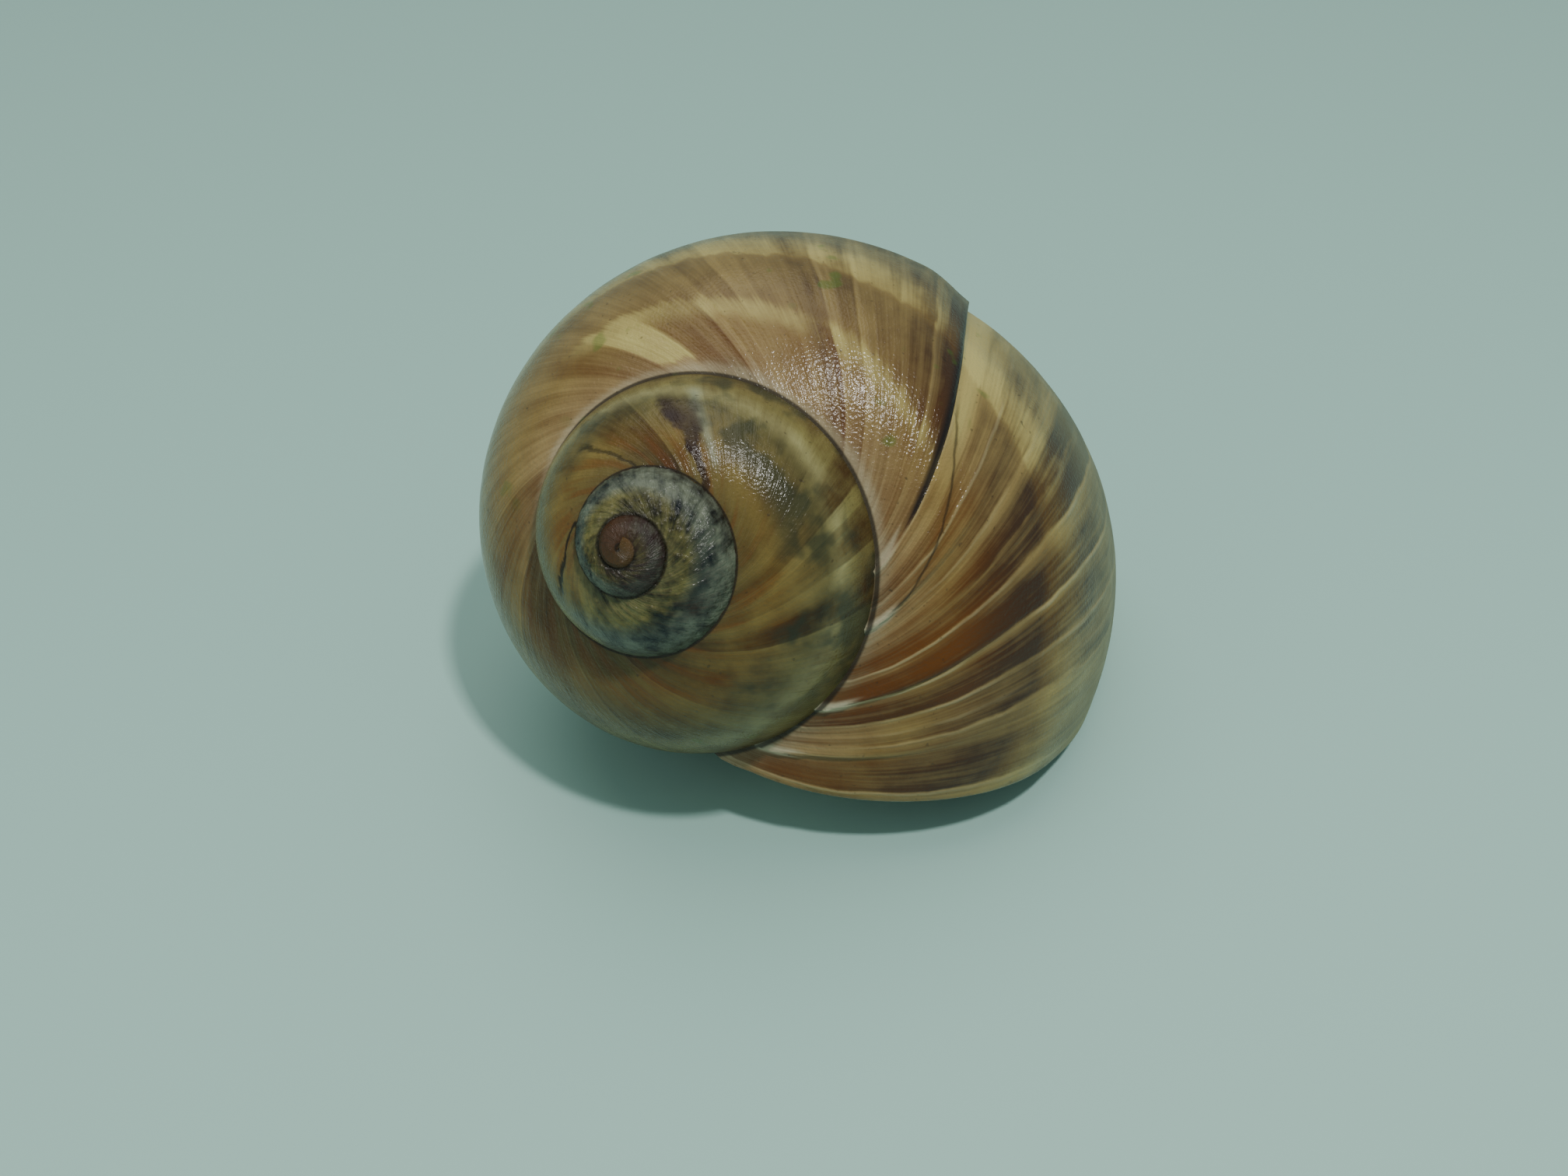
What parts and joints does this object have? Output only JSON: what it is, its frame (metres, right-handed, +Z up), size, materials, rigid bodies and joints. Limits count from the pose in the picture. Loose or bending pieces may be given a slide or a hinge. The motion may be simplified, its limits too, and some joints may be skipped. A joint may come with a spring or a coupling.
{
  "type": "moon snail shell",
  "caption": "Empty globose sea snail shell with a low stepped spire, a wide half-round aperture and a healed break near the lip, lying on its aperture.",
  "frame": {"origin": "centre of the bounding box in X and Y, on the surface that the shell lies on", "axes": "+Z up; the spire points towards -Y and -X, and the outer lip is towards +X"},
  "size_m": [0.051, 0.0478, 0.0377],
  "materials": {
    "shell": "olive-brown, semi-gloss, streaked along the growth lines"
  },
  "bodies": {
    "root": {"shell": "shell"}
  },
  "joints": []
}
